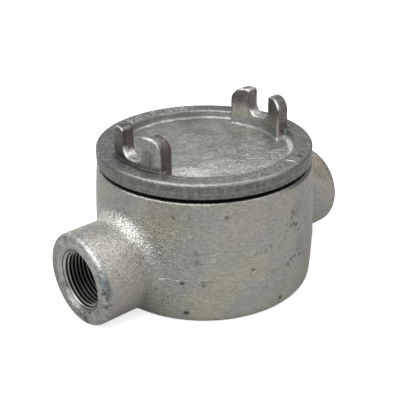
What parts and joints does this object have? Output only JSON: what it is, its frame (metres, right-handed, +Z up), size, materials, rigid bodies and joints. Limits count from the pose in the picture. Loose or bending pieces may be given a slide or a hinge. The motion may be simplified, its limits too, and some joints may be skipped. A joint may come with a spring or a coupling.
{
  "type": "threaded round junction box",
  "caption": "Round cast conduit junction box with opposed threaded hubs, a wiring chamber, a seal and a screw-on cover that is turned by a bar laid in its forked lugs.",
  "frame": {"origin": "centre of the flat base on which the body stands", "axes": "+X along the common axis of the two hubs, +Z up along the axis of the body and its cover"},
  "size_m": [0.1448, 0.1008, 0.0798],
  "materials": {
    "plated_iron": "sand-cast skin, zinc plated, silvery grey with faint yellow and pink tints",
    "cast_aluminium": "as cast, dull grey with bright worn edges",
    "seal_rubber": "matt black",
    "green_screw": "green dyed zinc"
  },
  "bodies": {
    "box": {"box_body": "plated_iron", "ground_screw": "green_screw"},
    "seal": {"seal_ring": "seal_rubber"},
    "cover": {"cover": "cast_aluminium"}
  },
  "joints": [
    {"name": "cover_lift", "type": "slide", "parent": "box", "child": "seal", "axis": [0, 0, 1], "range_m": [0, 0.0191]},
    {"name": "cover_turn", "type": "hinge", "parent": "seal", "child": "cover", "pos_m": [0, 0, 0.06], "axis": [0, 0, 1], "range_deg": [0, 2160]}
  ],
  "couplings": [
    {"joint": "cover_lift", "follows": "cover_turn", "m_per_rad": 0.00050532}
  ]
}
